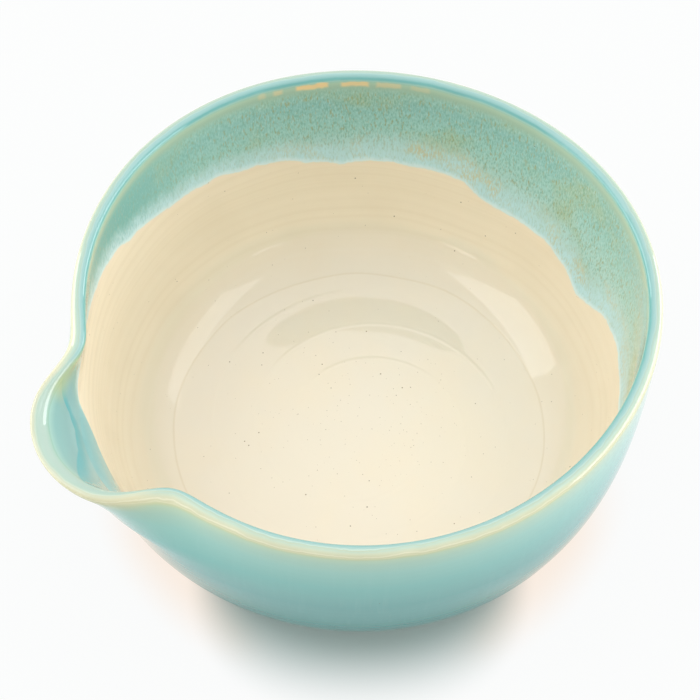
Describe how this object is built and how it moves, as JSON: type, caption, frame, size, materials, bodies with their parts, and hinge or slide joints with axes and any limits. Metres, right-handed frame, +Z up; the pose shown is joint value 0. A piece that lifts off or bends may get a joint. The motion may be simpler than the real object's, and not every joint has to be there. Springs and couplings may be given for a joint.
{
  "type": "spouted mixing bowl",
  "caption": "Wheel-thrown stoneware mixing bowl with a pouring spout pulled out of its rim, cream glaze inside, turquoise glaze outside and over the rim, on a trimmed foot ring.",
  "frame": {"origin": "on the table, under the middle of the bowl's overall length and width, spout included", "axes": "+Z up out of the bowl's mouth; -X along the spout, away from the bowl; the foot ring's middle lies 11.3 mm along +X"},
  "size_m": [0.2512, 0.227, 0.113],
  "materials": {
    "stoneware": "bare fired clay, matt and faintly grainy",
    "turquoise_glaze": "glossy turquoise glaze that breaks to cream on the lip",
    "cream_glaze": "glossy cream liner glaze with small iron specks"
  },
  "bodies": {
    "root": {"stoneware_body": "stoneware", "turquoise_glaze": "turquoise_glaze", "cream_liner_glaze": "cream_glaze"}
  },
  "joints": []
}
